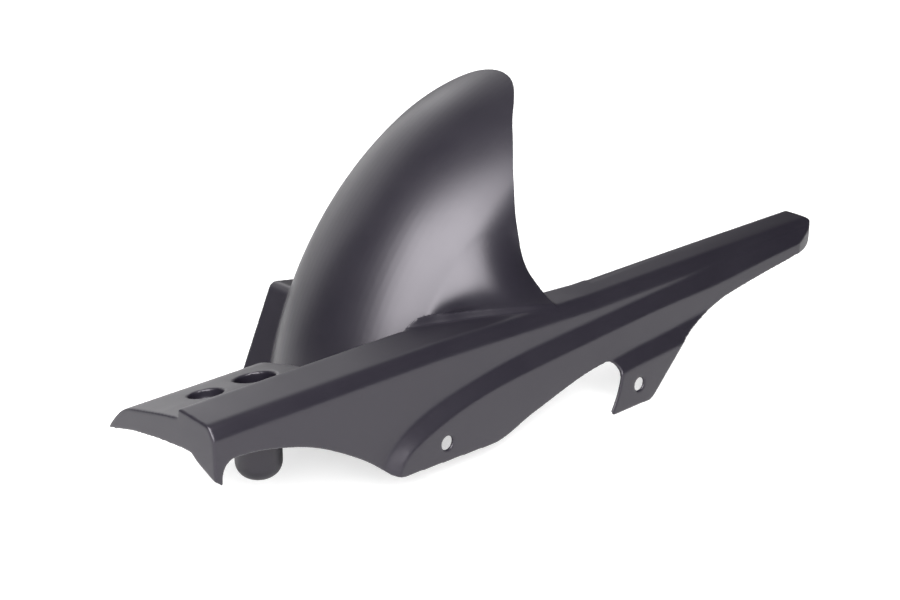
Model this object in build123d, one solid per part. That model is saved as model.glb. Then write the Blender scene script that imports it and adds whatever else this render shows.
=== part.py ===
"""Rear hugger mudguard with its chain guard: one moulded ABS shell.

Everything is drawn about the wheel axle (X rearward, Y to the right of the
bike, Z up, mm), as an outer skin and the same skin set in by the wall, and is
then moved so that the front fixing hole is the origin.
"""
import math
import os

from build123d import *

# Driving sizes
wall = 3.0
tyre_radius = 315.0
tyre_clearance = 17.0
arch_half_width = 102.0
arch_crown = 75.0
arch_shoulder_r = 56.0
arch_front_angle = 171.0
arch_rear_angle = 98.0
flank_depth = 96.0
arch_floor_z = 60.0
arch_offset = (2.0, 0.0, 4.5)

guard_front_x = -521.0
guard_rear_x = 213.0
guard_top_z = 167.5
guard_inner_y = -106.0
guard_side_y = -149.0
panel_step = 8.0
lip_depth = 19.0

plate_rear_x = -392.0
valley_z = 108.0
shelf_y = 118.0

fixing_hole_d = 12.0
front_hole_x = -301.0
front_hole_z = 83.6
rear_hole_x = -72.5
rear_hole_z = 68.0
well_screw_d = 6.5

# Sizes that follow
arch_radius = tyre_radius + tyre_clearance + wall
rib_radius = arch_radius - arch_crown
panel_y = guard_side_y - panel_step
tab_y = panel_y - panel_step
guard_rear_inner_y = guard_inner_y - 13.0
guard_rear_top_z = guard_top_z - 4.0
far_z = 0.0


def side_face(edges_points, y):
    """Closed XZ outline at one y: each entry is a list of points, a long one is a spline."""
    edges = []
    for points in edges_points:
        spots = [(x, y, z) for x, z in points]
        edges.append(Line(*spots) if len(spots) == 2 else Spline(*spots))
    return Face(Wire(edges))


def band(curve, y, low_z):
    """Region under one XZ curve, down to a flat line."""
    (x0, z0), (x1, z1) = curve[0], curve[-1]
    rest = [[(x1, z1), (x1, low_z)], [(x1, low_z), (x0, low_z)], [(x0, low_z), (x0, z0)]]
    return side_face([curve] + rest, y)


def cross_face(points, x, radii):
    """YZ polygon at one x with its own corner radius at each vertex."""
    face = Plane(origin=(x, 0, 0), x_dir=(0, 1, 0), z_dir=(1, 0, 0)) * Polygon(*points, align=None)
    for (y, z), radius in zip(points, radii):
        if radius:
            corner = face.vertices().sort_by_distance((x, y, z))[0]
            face = fillet(corner, radius)
    return face.face()


def crown_arcs(inset):
    """Three-centred crown of the arch: half width, rise, and where its two kinds of arc meet."""
    half, rise, side_r = arch_half_width - inset, arch_crown - inset, arch_shoulder_r - inset
    top_r = (half ** 2 + rise ** 2 - 2 * half * side_r) / (2 * (rise - side_r))
    lean = math.atan2(half - side_r, top_r - rise)
    joint = (half - side_r + side_r * math.sin(lean), side_r * math.cos(lean))
    middle = (half - side_r + side_r * math.sin((lean + math.pi / 2) / 2),
              side_r * math.cos((lean + math.pi / 2) / 2))
    return half, rise, top_r, joint, middle


def crown_height(y):
    """Height of the crown over its springing line at a distance from the wheel's middle plane."""
    half, rise, top_r, joint, _ = crown_arcs(0)
    if abs(y) < joint[0]:
        return rise - top_r + math.sqrt(top_r ** 2 - y ** 2)
    return math.sqrt(max(arch_shoulder_r ** 2 - (abs(y) - half + arch_shoulder_r) ** 2, 0))


def arch_volume(inset):
    """Crowned arch about the axle, set in by the given amount."""
    half, rise, _, (joint_y, joint_z), (middle_y, middle_z) = crown_arcs(inset)
    crown = [ThreePointArc((-half, 0), (-middle_y, middle_z), (-joint_y, joint_z)),
             ThreePointArc((-joint_y, joint_z), (0, rise), (joint_y, joint_z)),
             ThreePointArc((joint_y, joint_z), (middle_y, middle_z), (half, 0))]
    sides = Polyline((-half, 0), (-half, -flank_depth), (half, -flank_depth), (half, 0))
    plane = Plane(origin=(0, 0, rib_radius), x_dir=(0, 1, 0), z_dir=(1, 0, 0))
    section = Face(Wire(crown + sides.edges())).moved(plane.location)
    start = section.rotate(Axis.Y, 90 - arch_rear_angle)
    return revolve(start, Axis.Y, -(arch_front_angle - arch_rear_angle)).moved(Location(arch_offset))


def guard_volume(inset):
    """Chain guard body: top, fold and upper side, with a narrower slanted rear half."""
    base = far_z

    def section(x, inner_y, top_z, fold_y, fold_z, side_z):
        points = [(inner_y - inset, base), (inner_y - inset, top_z - inset), (fold_y + 0.3 * inset, fold_z - inset),
                  (guard_side_y + inset, side_z - 0.5 * inset), (guard_side_y + inset, base)]
        return cross_face(points, x, (0, max(3.0 - inset, 0.5), 6.0, 6.0, 0))

    front = (guard_inner_y, guard_top_z, -143.0, guard_top_z - 2.5, 155.5)
    middle = (guard_inner_y, guard_top_z, -143.0, guard_top_z - 2.5, 153.5)
    rear = (guard_rear_inner_y, guard_rear_top_z, -143.0, guard_rear_top_z - 5.5, 146.5)
    tail = (guard_rear_inner_y, guard_rear_top_z - 3.0, -143.0, guard_rear_top_z - 7.0, 146.5)
    body = loft([section(guard_front_x + inset, *front), section(-300.0, *middle)], ruled=True)
    body += loft([section(-300.0, *middle), section(-120.0, *rear)], ruled=True)
    body += loft([section(-120.0, *rear), section(guard_rear_x + 30.0, *tail)], ruled=True)
    return body


# Upper and lower edges of the two outward steps of the side skirt
panel_top = [(-368, 60), (-361, 84), (-344, 101), (-324, 111), (-302, 117.5), (-280, 122), (-234, 129.5), (-150, 136),
             (-60, 141), (0, 144), (70, 147), (260, 147)]
panel_low = [(-355, 60), (-350, 76), (-343, 85), (-331, 92), (-310, 100), (-288, 106.5), (-242, 115), (-195, 119),
             (-119, 124), (-11, 129.5), (48, 131), (90, 134.5), (140, 138.5), (260, 143)]
tab_top = [(-124, 93), (-88, 99), (-40, 103), (20, 108.5), (60, 112.5)]
tab_low = [(-124, 79), (-97, 84.5), (-50, 88), (20, 91), (60, 93)]


def step_volume(top, low, y_from, inset, low_z):
    """Part of the skirt that stands out by one step, with a sloped upper edge."""
    upper = [(x, z - 0.9 * inset) for x, z in top]
    lower = [(x, z - 0.9 * inset) for x, z in low]
    levels = [(upper, y_from + inset + 2 * wall), (upper, y_from + inset), (lower, y_from - panel_step + inset)]
    return loft([band(curve, y, low_z) for curve, y in levels], ruled=True)


def nose_prisms(inset):
    """Rounded rear end of the guard, in plan and from the side."""
    end = guard_rear_x - inset
    side_line = guard_side_y + inset
    inner_line = guard_rear_inner_y - inset
    plan = Face(Wire([
        Line((-600, -60, 0), (-600, -190, 0)),
        Line((-600, -190, 0), (end - 60, -190, 0)),
        Line((end - 60, -190, 0), (end - 60, panel_y - 3 + inset, 0)),
        Spline((end - 60, panel_y - 3 + inset, 0), (end - 24, side_line - 3.5, 0), (end - 7, side_line + 4.5, 0),
               (end, side_line + 15, 0), (end - 4.5, inner_line - 7, 0), (end - 16, inner_line + 1, 0),
               tangents=[(1, 0.05, 0), (-1, 0.25, 0)]),
        Line((end - 16, inner_line + 1, 0), (end - 16, -60, 0)),
        Line((end - 16, -60, 0), (-600, -60, 0))]))
    corner = 24.0 - inset
    top = guard_top_z + 60
    z_round = guard_rear_top_z - 3.2 - inset
    side = Face(Wire([
        Line((-600, 0, far_z), (-600, 0, top)),
        Line((-600, 0, top), (-100, 0, top)),
        Line((-100, 0, top), (-100, 0, z_round + 1)),
        Line((-100, 0, z_round + 1), (end - corner, 0, z_round + 1)),
        Spline((end - corner, 0, z_round + 1), (end - 0.29 * corner, 0, z_round + 1 - 0.29 * corner),
               (end, 0, z_round + 1 - corner), tangents=[(1, 0, 0), (0, 0, -1)]),
        Line((end, 0, z_round + 1 - corner), (end, 0, far_z)),
        Line((end, 0, far_z), (-600, 0, far_z))]))
    return extrude(plan, amount=400, dir=(0, 0, 1)), extrude(side, amount=-220, dir=(0, 1, 0))


def side_volume(inset):
    """Whole chain guard with its steps and rounded rear end."""
    body = guard_volume(inset)
    body += step_volume(panel_top, panel_low, guard_side_y, inset, far_z - 4)
    body += step_volume(tab_top, tab_low, panel_y, inset, far_z - 8)
    for prism in nose_prisms(inset):
        body = body & prism
    return body


# Raised shoulder, by angle about the axle: ridge y and z, y of the flare's root on the arch, and of its bend
shoulder_rows = [
    (151.2, -106.2, 166.0, -92.0, -97.0),
    (149.5, -106.5, 172.0, -90.0, -97.0),
    (148.2, -107.5, 173.8, -88.0, -96.5),
    (146.7, -113.0, 172.1, -87.0, -96.5),
    (144.5, -121.0, 169.9, -89.0, -98.0),
    (141.9, -129.0, 167.6, -94.5, -102.0),
    (139.0, -136.0, 165.2, -99.0, -105.5),
    (136.3, -140.8, 162.6, -100.5, -105.5),
    (132.5, -143.0, 158.4, -101.2, -106.0),
    (128.0, -142.0, 155.0, -101.2, -106.5)]
strip_width = 7.0
strip_drop = 12.0
shoulder_foot_y = -146.5
shoulder_base_z = 112.0


def shoulder_volume(inset):
    """Flare from the arch flank out to the ridge, and the steep face below it."""
    faces = []
    for angle, ridge_y, ridge_z, root_y, knee_y in shoulder_rows:
        tilt = math.radians(angle)
        if angle == shoulder_rows[0][0]:
            tilt -= inset / arch_radius
        lift = arch_offset[0] * math.cos(tilt) + arch_offset[2] * math.sin(tilt)
        root_r = rib_radius + crown_height(root_y) + lift
        slope = (arch_shoulder_r - arch_half_width - root_y) / crown_height(root_y)
        knee_r = root_r - slope * (root_y - knee_y)
        foot_y = max(shoulder_foot_y, ridge_y - strip_width)
        foot_r = (ridge_z - strip_drop) / math.sin(tilt)
        base_r = shoulder_base_z / math.sin(tilt)
        outline = [(root_y + 2.0, root_r), (knee_y, knee_r), (ridge_y, ridge_z / math.sin(tilt)),
                   (foot_y, foot_r), (foot_y, base_r), (root_y + 2.0, base_r)]
        spots = [((r - inset) * math.cos(tilt), y + inset, (r - inset) * math.sin(tilt)) for y, r in outline]
        spots = [Vector(x, y, z) for x, y, z in spots]
        edges = [Bezier(*spots[:3])] + [Line(spots[i], spots[(i + 1) % 6]) for i in range(2, 6)]
        faces.append(Face(Wire(edges)))
    return loft(faces)


def plate_volume(inset):
    """Crowned front plate with its rolled right edge, closed at the front and at the rear."""
    roll = [(-112, 161), (-79, 154.7), (-56, 149.4), (-36, 143.5), (-22, 133), (-8, 116)]
    start = guard_front_x + inset
    spots = [(start, y - 0.5 * inset, z - inset) for y, z in roll]
    first, last = spots[0], spots[-1]
    rest = Polyline(last, (start, last[1], far_z), (start, first[1], far_z), first)
    face = Face(Wire([Spline(*spots)] + rest.edges()))
    return extrude(face, amount=plate_rear_x - guard_front_x - 2 * inset, dir=(1, 0, 0))


def shelf_volume(inset):
    """Low shelf on the right of the arch, closed by the upright wall at its front."""
    side = [(-318 + inset, 20), (-297 + inset, 65), (-262 + inset, 139.5 - inset), (-170, 128 - inset), (-170, 20)]
    profile = Plane.XZ * Polygon(*side, align=None)
    corner = profile.vertices().sort_by_distance((side[2][0], 0, side[2][1]))[0]
    profile = fillet(corner, 9.0 - inset)
    body = extrude(profile, amount=130, dir=(0, 1, 0))
    out = shelf_y - inset
    plan = Polygon((-340, 80 + 2 * inset), (-340, out), (-262, out), (-160, arch_half_width + 1 - inset),
                   (-160, 80 + 2 * inset), align=None)
    return body & extrude(plan, amount=200, dir=(0, 0, 1))


def below(points, y_from, y_to, floor=far_z - 10):
    """Everything under an XZ line of straight and curved runs, between two y values."""
    runs = points + [[points[-1][-1], (points[-1][-1][0], floor)],
                     [(points[-1][-1][0], floor), (points[0][0][0], floor)],
                     [(points[0][0][0], floor), points[0][0]]]
    return extrude(side_face(runs, y_from), amount=y_to - y_from, dir=(0, 1, 0))


def trailing_cutter(shift):
    """Space behind the trailing edge of the arch."""
    edge = [(-48, 354), (-84, 327), (-110, 311), (-129, 295), (-148, 270.5), (-159, 250), (-164.5, 230), (-164, 210),
            (-161, 190), (-160, 165)]
    curve = [(x - shift, z) for x, z in edge]
    rest = [[curve[-1], (-160 - shift, 60)], [(-160 - shift, 60), (90, 60)], [(90, 60), (90, 354)], [(90, 354), curve[0]]]
    return extrude(side_face([curve] + rest, -220), amount=440, dir=(0, 1, 0))


# Lower edge of the side skirt, run by run
skirt_runs = [
    [(-540, 134), (-524, 125.5), (-514.5, 117.5)],
    [(-514.5, 117.5), (-513.5, 126)],
    [(-513.5, 126), (-511, 132), (-505, 136)],
    [(-505, 136), (-485, 134.8), (-462, 130), (-431, 120), (-400, 104), (-376, 88.5), (-358, 73.5)],
    [(-358, 73.5), (-350, 69.8), (-340, 68.8)],
    [(-340, 68.8), (-252, 65.2)],
    [(-252, 65.2), (-240, 65.8), (-222, 70.8), (-203, 77.4)],
    [(-203, 77.4), (-163, 87.9), (-133, 94.5), (-112, 97)],
    [(-112, 97), (-103, 95.5), (-98, 91), (-97, 83)],
    [(-97, 83), (-100, 70), (-108.5, 52)],
    [(-108.5, 52), (-106, 48)],
    [(-106, 48), (-56, 47.5)],
    [(-56, 47.5), (-51, 50)],
    [(-51, 50), (-12, 88.5)],
    [(-12, 88.5), (-1.5, 95), (10, 100), (30, 107.1), (56, 114.9)],
    [(56, 114.9), (102, 121.3), (159, 127.5)],
    [(159, 127.5), (184, 129), (199, 132), (208, 141)],
    [(208, 141), (240, 144)]]

# Lower edge of the front flange, seen from the front
flange_line = [(-175, 112), (-147, 112), (-146.5, 122.3), (-136, 127), (-127, 131), (-120, 136), (-108, 136),
               (-77, 133.1), (-45, 128.2), (-12, 119.9), (20, 110)]

# Lower edge of the guard's inner wall
lip_runs = [[(plate_rear_x - 4, valley_z - wall), (-300, valley_z - wall)],
            [(-300, valley_z - wall), (-170, guard_rear_top_z - lip_depth)],
            [(-170, guard_rear_top_z - lip_depth), (guard_rear_x + 20, guard_rear_top_z - lip_depth)]]


def flange_cutter():
    """Space under the front flange."""
    x = guard_front_x - 10
    spots = [(x, y, z) for y, z in flange_line]
    rest = Polyline(spots[-1], (x, spots[-1][1], -10), (x, spots[0][1], -10), spots[0])
    face = Face(Wire(Polyline(*spots).edges() + rest.edges()))
    return extrude(face, amount=10 + 2 * wall, dir=(1, 0, 0))


def well(x, y, radius, floor, bottom_round, inset):
    """Cup let into the plate, as a round-bottomed plug."""
    height = 175 - floor
    plug = Cylinder(radius - inset, height, align=(Align.CENTER, Align.CENTER, Align.MIN))
    plug = fillet(plug.edges().sort_by(Axis.Z)[0], bottom_round - inset)
    return plug.moved(Location((x, y, floor + inset)))


def through_hole(x, y, z, diameter, axis_turn):
    """Plain hole through the wall."""
    hole = Cylinder(diameter / 2, 30)
    return hole.rotate(Axis.X, axis_turn).moved(Location((x, y, z)))


trail = trailing_cutter(0)
plate_outer = plate_volume(0)
outer = side_volume(0)
outer += shoulder_volume(0) - trail
outer += arch_volume(0) - trail
outer += plate_outer
outer += shelf_volume(0)

arch_inner = arch_volume(wall)
inner = side_volume(wall)
inner += shoulder_volume(wall) - trailing_cutter(wall)
inner += arch_inner
inner += plate_volume(wall)
inner += shelf_volume(wall)

shell = outer - inner
shell -= below(skirt_runs, -190, -125)
shell -= flange_cutter()
shell -= below(lip_runs, -125.5, -96)
axle_side = Cylinder(rib_radius - 24, 260).rotate(Axis.X, 90).moved(Location((0, 34, 0)))
shell -= axle_side
shell -= Box(260, 300, 120, align=(Align.MIN, Align.MIN, Align.MAX)).moved(Location((-350, -96, arch_floor_z)))
shell -= Box(130, 70, 140, align=(Align.MIN, Align.MIN, Align.MAX)).moved(Location((guard_front_x + 2 * wall, -45, 116)))
shell -= Box(14, 110, 140, align=(Align.MIN, Align.MIN, Align.MAX)).moved(Location((plate_rear_x - 10, -108, valley_z - wall)))
valley = Box(160, 92, wall, align=(Align.MIN, Align.MIN, Align.MAX)).moved(Location((plate_rear_x - wall, -106, valley_z)))
shell += valley - arch_inner
wells = [(-472, -73, 16.5, 138.0, 7.0), (-427, -74.5, 19.0, 69.0, 14.0)]
for x, y, radius, floor, bottom_round in wells:
    shell += well(x, y, radius, floor, bottom_round, 0) & plate_outer
    shell -= well(x, y, radius, floor, bottom_round, wall)
    shell -= through_hole(x, y, floor, well_screw_d, 0)
shell -= through_hole(front_hole_x, panel_y, front_hole_z, fixing_hole_d, 90)
shell -= through_hole(rear_hole_x, tab_y, rear_hole_z, fixing_hole_d, 90)

shell = shell.solids().sort_by(SortBy.VOLUME)[-1]
shell = shell.moved(Location((-front_hole_x, -panel_y, -front_hole_z)))
shell.label = "hugger_shell"

os.makedirs("parts", exist_ok=True)
export_step(shell, "parts/hugger_shell.step")
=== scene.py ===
"""Looks of a rear hugger mudguard: one satin black moulded ABS shell on a white studio floor.

Metres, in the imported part's frame: the origin is the front fixing hole, X runs rearward,
Y to the right of the bike and Z up.
"""

import math

import bmesh
import bpy
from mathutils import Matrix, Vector

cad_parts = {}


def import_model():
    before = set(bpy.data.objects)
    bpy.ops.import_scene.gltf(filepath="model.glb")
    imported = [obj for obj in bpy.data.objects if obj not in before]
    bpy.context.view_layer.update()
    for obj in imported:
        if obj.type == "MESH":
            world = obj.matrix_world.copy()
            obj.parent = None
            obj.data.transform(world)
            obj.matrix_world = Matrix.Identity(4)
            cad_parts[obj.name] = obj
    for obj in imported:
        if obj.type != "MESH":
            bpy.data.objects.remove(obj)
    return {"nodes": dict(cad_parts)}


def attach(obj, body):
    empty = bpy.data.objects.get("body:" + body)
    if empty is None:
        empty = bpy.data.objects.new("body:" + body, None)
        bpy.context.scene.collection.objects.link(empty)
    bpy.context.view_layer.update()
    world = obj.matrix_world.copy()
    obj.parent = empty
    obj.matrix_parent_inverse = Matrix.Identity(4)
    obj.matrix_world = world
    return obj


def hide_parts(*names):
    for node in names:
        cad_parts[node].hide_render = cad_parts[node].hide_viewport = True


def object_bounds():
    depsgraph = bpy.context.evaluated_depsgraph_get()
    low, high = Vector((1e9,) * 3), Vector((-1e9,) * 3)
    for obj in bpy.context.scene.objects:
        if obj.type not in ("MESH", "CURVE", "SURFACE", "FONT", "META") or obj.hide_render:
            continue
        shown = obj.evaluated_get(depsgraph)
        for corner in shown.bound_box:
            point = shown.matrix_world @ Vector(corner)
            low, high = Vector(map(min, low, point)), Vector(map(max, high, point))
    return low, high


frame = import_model()
cad_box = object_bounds()

MM = 0.001

# Camera of the photograph: place, aim, lens and how far it sees
CAMERA_AT = Vector((-831.1, -866.5, 578.2)) * MM
CAMERA_AIM = Vector((0.6481, 0.6738, -0.3549))
CAMERA_LENS = 66.52
SENSOR_WIDTH = 36.0
CAMERA_REACH = 50.0

# Moulded ABS: mass colour, tint of its gloss, range of its roughness
ABS_BLACK = "#15131A"
ABS_SHEEN = "#F8F3FA"
ABS_IOR = 1.54
ABS_ROUGH = (0.34, 0.40)
GRAIN_SIZE = 0.6 * MM
GRAIN_DEPTH = 0.05 * MM
GRAIN_STRENGTH = 0.12
FLOW_SIZE = 60 * MM

# Skin of the shell: CAD corners closer than this are one, and edges shorter than this are none
SAME_CORNER = 0.01 * MM
NO_EDGE = 0.02 * MM
# Grid on which the skin is evened out, smoothing that rounds its edges, share of faces kept, angle of a rim that
# stays sharp
SKIN_GRID = 0.9 * MM
ROUNDING_PASSES = 20
ROUNDING_STRENGTH = 0.5
FACES_KEPT = 0.13
RIM_ANGLE = 55

# Arch about the axle (mm): radius to its springing line, radius and place of its side arc, shift off the axle
AXLE = Vector((301.0, 157.0, -83.6))
ARCH_RIM_R = 260.0
ARCH_SIDE_R = 56.0
ARCH_SIDE_Y = -46.0
ARCH_SHIFT = (2.0, 4.5)

# Flare of the arch into the chain guard, about the axle (mm). Each row: root x and z on the arch, length of
# its run along the arch, bend near the ridge as y and z from it, ridge x, y and z, foot of the ridge as y and
# z from it
FLARE_ROWS = [
    (-305.0, 60, 8, 2.0, -30.0, -305.0, -106.2, 165.5, -2.0, -4.0),
    (-297.5, 82, 8, 4.5, -28.0, -297.5, -106.5, 169.6, -2.5, -5.2),
    (-288.0, 108, 10, 7.0, -25.0, -288.0, -107.3, 174.4, -3.4, -8.9),
    (-275.0, 132, 12, 9.0, -20.0, -275.0, -109.8, 174.9, -4.0, -9.6),
    (-262.0, 152, 14, 11.5, -13.0, -262.0, -114.2, 173.2, -3.8, -9.0),
    (-247.0, 175, 16, 14.0, -5.0, -247.0, -118.2, 171.5, -3.4, -8.2),
    (-232.0, 194, 18, 16.0, 1.5, -232.0, -123.0, 170.3, -3.2, -7.6),
    (-217.0, 209, 20, 17.5, 5.0, -217.0, -128.4, 168.8, -3.0, -6.8),
    (-199.0, 221, 24, 19.0, 8.0, -199.0, -134.0, 166.9, -2.6, -5.8),
    (-181.0, 221, 29, 21.5, 9.0, -180.0, -138.8, 164.1, -2.0, -4.2),
    (-164.0, 216, 31, 23.5, 9.7, -160.2, -141.6, 160.4, -1.2, -2.4)]
FLARE_STEPS = 14
STEPS_BETWEEN_ROWS = 5
# Wall of the flare and the crown, share of the flare that has a back, and its end from the foot
WALL = 3.0
FLARE_BACK_SHARE = 0.6
FLARE_BACK_END = Vector((0, 1.0, -2.5))
# Room cleared over the flare, from its foot and from its root
ROOM_OVER_FOOT = Vector((0, -0.5, 22))
ROOM_OVER_ROOT = Vector((0, -0.4, 30))

# Crown of the arch, drawn finer than the solid's facets and a little proud of them: sweep in degrees, half
# width, rise over the springing line
CROWN_SWEEP = (97.0, 165.0)
CROWN_SWEEP_STEPS = 110
CROWN_HALF = 102.0
CROWN_RISE = 75.0
CROWN_ARC_STEPS = 14
CROWN_PROUD = 0.12

# Trailing edge of the arch, x and z about the axle (mm), how far its rim is trimmed, and the space behind it:
# where that ends at the rear, how far it rises and how far it reaches to each side
TRAIL = [(-53, 354), (-88.5, 327), (-111.5, 311), (-130, 295), (-148.5, 270.5), (-159, 250), (-164.5, 230),
         (-164, 210), (-161, 190), (-160, 165)]
RIM_TRIM = 0.6
BEHIND_END = 90
BEHIND_RISE = 30
BEHIND_SIDE = 160

# Studio: floor and its glow for the eye, from near the object to far off
FLOOR_Z = cad_box[0][2] - 0.5 * MM
FLOOR_HALF = 6.0
FLOOR_WHITE = "#D0D0D0"
FLOOR_GLOW = 0.55
FAR_GLOW = 1.0
GLOW_NEAR = 0.8
GLOW_FAR = 2.4
ROOM_LEVEL = 0.07
STUDIO_CENTRE = Vector((0.1, 0.1, 0.05))
# Softboxes: name, azimuth (0 rearward, 90 to the right), elevation, distance, spread wide and high, radiance
PANELS = [
    ("key", -135, 41, 2.6, 60, 52, 12.0),
    ("overhead", -60, 82, 2.6, 60, 40, 0.3),
    ("right_wall", 88, 22, 2.4, 56, 44, 1.35),
    ("back_wall", 50, 38, 2.6, 44, 40, 0.85)]


def linear(hex_code):
    """Linear RGBA of an sRGB hex colour."""
    parts = [int(hex_code[i:i + 2], 16) / 255 for i in (1, 3, 5)]
    return [c / 12.92 if c <= 0.04045 else ((c + 0.055) / 1.055) ** 2.4 for c in parts] + [1.0]


def placed(name, data):
    """Object with its data, linked to the scene."""
    obj = bpy.data.objects.new(name, data)
    bpy.context.scene.collection.objects.link(obj)
    return obj


def add_node(tree, kind, links=None, **settings):
    """One node with its input values or links and its own settings."""
    node = tree.nodes.new(kind)
    for name, value in settings.items():
        setattr(node, name, value)
    for socket, value in (links or {}).items():
        if isinstance(value, bpy.types.NodeSocket):
            tree.links.new(value, node.inputs[socket])
        else:
            node.inputs[socket].default_value = value
    return node


def moulded_abs():
    """Injection-moulded ABS, mass coloured black: satin, with the tool's fine spark-eroded grain."""
    mat = bpy.data.materials.new("moulded_black_abs")
    mat.use_nodes = True
    tree = mat.node_tree
    shader = tree.nodes["Principled BSDF"]
    place = add_node(tree, "ShaderNodeTexCoord").outputs["Object"]
    # The real grain is finer, and is drawn as coarse as it needs to show
    grain = add_node(tree, "ShaderNodeTexNoise", {"Vector": place, "Scale": 1 / GRAIN_SIZE, "Detail": 2.0,
                                                  "Roughness": 0.6})
    # Slow change of gloss, from the plastic's flow
    flow = add_node(tree, "ShaderNodeTexNoise", {"Vector": place, "Scale": 1 / FLOW_SIZE, "Detail": 3.0,
                                                 "Roughness": 0.5})
    gloss = add_node(tree, "ShaderNodeMapRange", {"Value": flow.outputs["Fac"], "From Min": 0.3,
                                                  "From Max": 0.7, "To Min": ABS_ROUGH[0],
                                                  "To Max": ABS_ROUGH[1]})
    bump = add_node(tree, "ShaderNodeBump", {"Height": grain.outputs["Fac"], "Strength": GRAIN_STRENGTH,
                                             "Distance": GRAIN_DEPTH})
    shader.inputs["Base Color"].default_value = linear(ABS_BLACK)
    shader.inputs["IOR"].default_value = ABS_IOR
    shader.inputs["Specular Tint"].default_value = linear(ABS_SHEEN)
    tree.links.new(gloss.outputs["Result"], shader.inputs["Roughness"])
    tree.links.new(bump.outputs["Normal"], shader.inputs["Normal"])
    return mat


def arch_y(x, z):
    """Left side of the arch at one spot beside the wheel, from its side arc."""
    rise = math.hypot(x - ARCH_SHIFT[0], z - ARCH_SHIFT[1]) - ARCH_RIM_R
    return ARCH_SIDE_Y - math.sqrt(ARCH_SIDE_R ** 2 - max(rise, 0.0) ** 2)


def eased_rows(rows):
    """The rows with smooth steps in between, on a curve through them all."""
    padded = [rows[0]] + rows + [rows[-1]]
    out = []
    for i in range(1, len(padded) - 2):
        for k in range(STEPS_BETWEEN_ROWS):
            s = k / STEPS_BETWEEN_ROWS
            out.append([0.5 * (2 * b + (c - a) * s + (2 * a - 5 * b + 4 * c - d) * s ** 2
                               + (3 * b - a - 3 * c + d) * s ** 3)
                        for a, b, c, d in zip(*padded[i - 1:i + 3])])
    return out + [list(rows[-1])]


def flare_section(row):
    """Outer line of the flare, from its root along the arch over the ridge to its foot, and its back."""
    root_x, root_z, run, bend_y, bend_z, ridge_x, ridge_y, ridge_z, foot_y, foot_z = row
    root = Vector((root_x, arch_y(root_x, root_z), root_z))
    along = Vector((root_x, arch_y(root_x, root_z - 1), root_z - 1)) - root
    leave = root + run * along.normalized()
    ridge = Vector((ridge_x, ridge_y, ridge_z))
    bend = ridge + Vector((0, bend_y, bend_z))
    outer, inner = [], []
    for i in range(FLARE_STEPS + 1):
        s = i / FLARE_STEPS
        t = 1 - s
        spot = t ** 3 * root + 3 * s * t ** 2 * leave + 3 * s ** 2 * t * bend + s ** 3 * ridge
        way = t ** 2 * (leave - root) + 2 * s * t * (bend - leave) + s ** 2 * (ridge - bend)
        face = Vector((0, way.z, -way.y)).normalized()
        outer.append(AXLE + spot)
        if s < FLARE_BACK_SHARE:
            inner.append(AXLE + spot - WALL * face)
    foot = AXLE + ridge + Vector((0, foot_y, foot_z))
    return outer + [foot], inner + [foot + FLARE_BACK_END]


def crown_line(inset):
    """Section of the arch's crown: side arc, top arc, side arc, as y and height over the springing line."""
    half, rise, side_r = CROWN_HALF - inset, CROWN_RISE - inset, ARCH_SIDE_R - inset
    top_r = (half ** 2 + rise ** 2 - 2 * half * side_r) / (2 * (rise - side_r))
    lean = math.atan2(half - side_r, top_r - rise)
    line = []
    for i in range(CROWN_ARC_STEPS + 1):
        turn = math.pi / 2 - (math.pi / 2 - lean) * i / CROWN_ARC_STEPS
        line.append((-(half - side_r) - side_r * math.sin(turn), side_r * math.cos(turn)))
    for i in range(1, CROWN_ARC_STEPS + 1):
        turn = lean * (1 - i / CROWN_ARC_STEPS)
        line.append((-top_r * math.sin(turn), rise - top_r + top_r * math.cos(turn)))
    return line + [(-y, z) for y, z in line[-2::-1]]


def crown_loops():
    """Crown of the arch swept about the axle as an even wall."""
    loops = []
    ring = crown_line(-CROWN_PROUD) + crown_line(WALL - CROWN_PROUD)[::-1]
    first, last = CROWN_SWEEP
    for i in range(CROWN_SWEEP_STEPS + 1):
        turn = math.radians(first + (last - first) * i / CROWN_SWEEP_STEPS)
        loops.append([AXLE + Vector(((ARCH_RIM_R + h) * math.cos(turn) + ARCH_SHIFT[0], y,
                                     (ARCH_RIM_R + h) * math.sin(turn) + ARCH_SHIFT[1])) for y, h in ring])
    return loops


def behind_loops():
    """Space behind the trailing edge of the arch, from side to side."""
    edge = [(x - RIM_TRIM, z) for x, z in eased_rows(TRAIL)]
    top = edge[0][1] + BEHIND_RISE
    ring = [(BEHIND_END, top), (edge[0][0], top)] + edge + [(BEHIND_END, edge[-1][1])]
    return [[AXLE + Vector((x, y, z)) for x, z in ring] for y in (-BEHIND_SIDE, BEHIND_SIDE)]


def solid_of(name, loops):
    """Object with a closed skin through loops of equal count."""
    build = bmesh.new()
    rings = [[build.verts.new(p * MM) for p in loop] for loop in loops]
    count = len(rings[0])
    for left, right in zip(rings, rings[1:]):
        for i in range(count):
            j = (i + 1) % count
            build.faces.new((left[i], left[j], right[j], right[i]))
    build.faces.new(rings[0][::-1])
    build.faces.new(rings[-1])
    bmesh.ops.recalc_face_normals(build, faces=build.faces)
    mesh = bpy.data.meshes.new(name)
    build.to_mesh(mesh)
    build.free()
    return placed(name, mesh)


def bake(piece):
    """Works a piece's modifiers into its mesh."""
    now = piece.evaluated_get(bpy.context.evaluated_depsgraph_get())
    mesh = bpy.data.meshes.new_from_object(now)
    piece.modifiers.clear()
    piece.data = mesh


def cut_away(piece, space):
    """Takes a space out of a piece and deletes the space."""
    cut = piece.modifiers.new("cut", "BOOLEAN")
    cut.operation = "DIFFERENCE"
    cut.solver = "EXACT"
    cut.object = space
    bake(piece)
    bpy.data.objects.remove(space)


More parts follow.
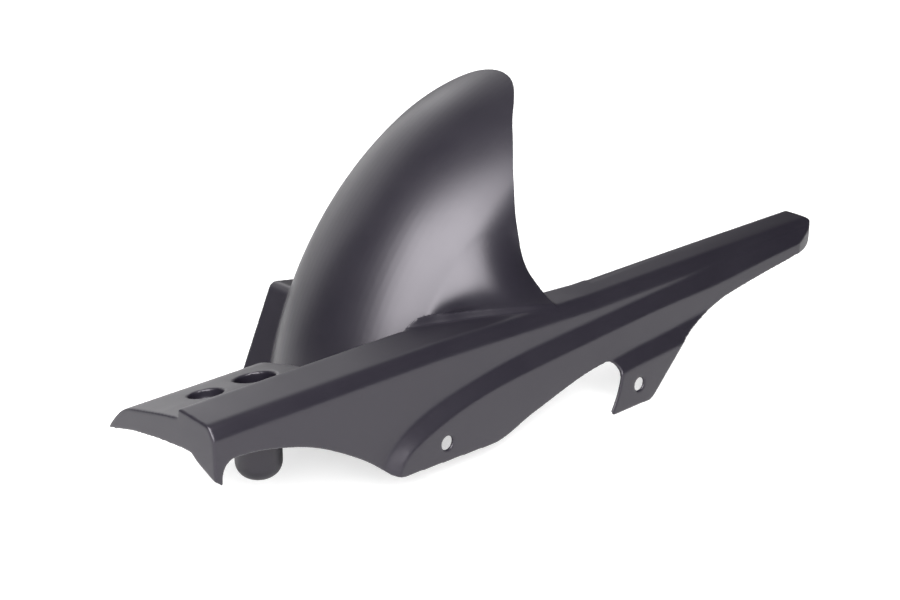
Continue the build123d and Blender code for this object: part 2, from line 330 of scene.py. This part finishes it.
def merged_copy(node):
    """Piece with a merged copy of a CAD node's mesh."""
    mesh = node.data.copy()
    build = bmesh.new()
    build.from_mesh(mesh)
    bmesh.ops.remove_doubles(build, verts=build.verts, dist=SAME_CORNER)
    bmesh.ops.dissolve_degenerate(build, edges=build.edges, dist=NO_EDGE)
    build.to_mesh(mesh)
    build.free()
    return placed("hugger_moulding", mesh)


def put_together(piece, others):
    """Puts the skins of other pieces into a piece's mesh and deletes those pieces."""
    build = bmesh.new()
    for part in [piece] + others:
        build.from_mesh(part.data)
    build.to_mesh(piece.data)
    build.free()
    for part in others:
        bpy.data.objects.remove(part)


def even_out(piece):
    """Fuses a piece's skins into one even skin, its edges rounded as a mould leaves them."""
    skin = piece.modifiers.new("even_skin", "REMESH")
    skin.mode = "VOXEL"
    skin.voxel_size = SKIN_GRID
    skin.use_smooth_shade = True
    soften = piece.modifiers.new("mould_rounding", "SMOOTH")
    soften.factor = ROUNDING_STRENGTH
    soften.iterations = ROUNDING_PASSES
    light = piece.modifiers.new("fewer_faces", "DECIMATE")
    light.ratio = FACES_KEPT
    bake(piece)


def shell_piece(node):
    """The CAD shell with its flare and crown drawn again, smoother than the solid's facets."""
    sections = [flare_section(row) for row in eased_rows(FLARE_ROWS)]
    piece = merged_copy(node)
    cut_away(piece, solid_of("flare_space", [outer + [outer[-1] + ROOM_OVER_FOOT, outer[0] + ROOM_OVER_ROOT]
                                             for outer, _ in sections]))
    put_together(piece, [solid_of("crown", crown_loops()),
                         solid_of("flare", [outer + inner[::-1] for outer, inner in sections])])
    even_out(piece)
    # The trailing edge is trimmed last, so that its rim stays a clean line
    cut_away(piece, solid_of("behind_arch", behind_loops()))
    mesh = piece.data
    mesh.set_sharp_from_angle(angle=math.radians(RIM_ANGLE))
    mesh.name = "hugger_moulding"
    mesh.materials.clear()
    mesh.materials.append(moulded_abs())
    return piece


def studio_white():
    """Matt painted studio floor. Its glow, for the eye alone, keeps it white round a shadow."""
    mat = bpy.data.materials.new("studio_floor_white")
    mat.use_nodes = True
    tree = mat.node_tree
    shader = tree.nodes["Principled BSDF"]
    shader.inputs["Base Color"].default_value = linear(FLOOR_WHITE)
    shader.inputs["Roughness"].default_value = 0.9
    shader.inputs["Specular IOR Level"].default_value = 0.0
    shader.inputs["Emission Color"].default_value = linear("#FFFFFF")
    # The glow grows outward, as the softboxes light the far floor less
    place = add_node(tree, "ShaderNodeTexCoord").outputs["Object"]
    reach = add_node(tree, "ShaderNodeVectorMath", {0: place}, operation="LENGTH")
    eye_glow = add_node(tree, "ShaderNodeMapRange", {"Value": reach.outputs["Value"], "From Min": GLOW_NEAR,
                                                     "From Max": GLOW_FAR, "To Min": FLOOR_GLOW,
                                                     "To Max": FAR_GLOW})
    rays = add_node(tree, "ShaderNodeLightPath")
    glow = add_node(tree, "ShaderNodeMath", {0: rays.outputs["Is Camera Ray"], 1: eye_glow.outputs["Result"]},
                    operation="MULTIPLY")
    tree.links.new(glow.outputs[0], shader.inputs["Emission Strength"])
    return mat


def floor():
    """Plain white floor."""
    mesh = bpy.data.meshes.new("studio_floor")
    h = FLOOR_HALF
    corners = [(-h, -h, FLOOR_Z), (h, -h, FLOOR_Z), (h, h, FLOOR_Z), (-h, h, FLOOR_Z)]
    mesh.from_pydata(corners, [], [(0, 1, 2, 3)])
    mesh.materials.append(studio_white())
    placed("studio_floor", mesh)


def panel(name, azimuth, elevation, distance, wide, high, radiance):
    """Softbox facing the object. Its direction and spread are in degrees as the object sees them."""
    az, el = math.radians(azimuth), math.radians(elevation)
    toward = Vector((math.cos(el) * math.cos(az), math.cos(el) * math.sin(az), math.sin(el)))
    data = bpy.data.lights.new(name, "AREA")
    data.shape = "RECTANGLE"
    data.size = 2 * distance * math.tan(math.radians(wide / 2))
    data.size_y = 2 * distance * math.tan(math.radians(high / 2))
    data.energy = radiance * math.pi * data.size * data.size_y
    lamp = placed(name, data)
    lamp.location = STUDIO_CENTRE + distance * toward
    lamp.rotation_euler = (-toward).to_track_quat("-Z", "Y").to_euler()
    lamp.visible_camera = False


def world():
    """White to the camera, a dim room to everything else, as the guard's sides reflect one."""
    scene_world = bpy.data.worlds.new("studio")
    bpy.context.scene.world = scene_world
    scene_world.use_nodes = True
    tree = scene_world.node_tree
    back = tree.nodes["Background"]
    back.inputs["Color"].default_value = linear("#FFFFFF")
    rays = add_node(tree, "ShaderNodeLightPath")
    strength = add_node(tree, "ShaderNodeMapRange", {"Value": rays.outputs["Is Camera Ray"],
                                                     "To Min": ROOM_LEVEL, "To Max": 1.0})
    tree.links.new(strength.outputs["Result"], back.inputs["Strength"])


def camera():
    """The photograph's viewpoint."""
    data = bpy.data.cameras.new("photo_camera")
    data.lens = CAMERA_LENS
    data.sensor_width = SENSOR_WIDTH
    data.sensor_fit = "HORIZONTAL"
    data.clip_end = CAMERA_REACH
    cam = placed("photo_camera", data)
    cam.location = CAMERA_AT
    cam.rotation_euler = CAMERA_AIM.to_track_quat("-Z", "Y").to_euler()
    bpy.context.scene.camera = cam


shell = shell_piece(frame["nodes"]["hugger_shell"])
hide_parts("hugger_shell")
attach(shell, "root")

floor()
for spec in PANELS:
    panel(*spec)
world()
camera()
bpy.context.scene.view_settings.view_transform = "Standard"
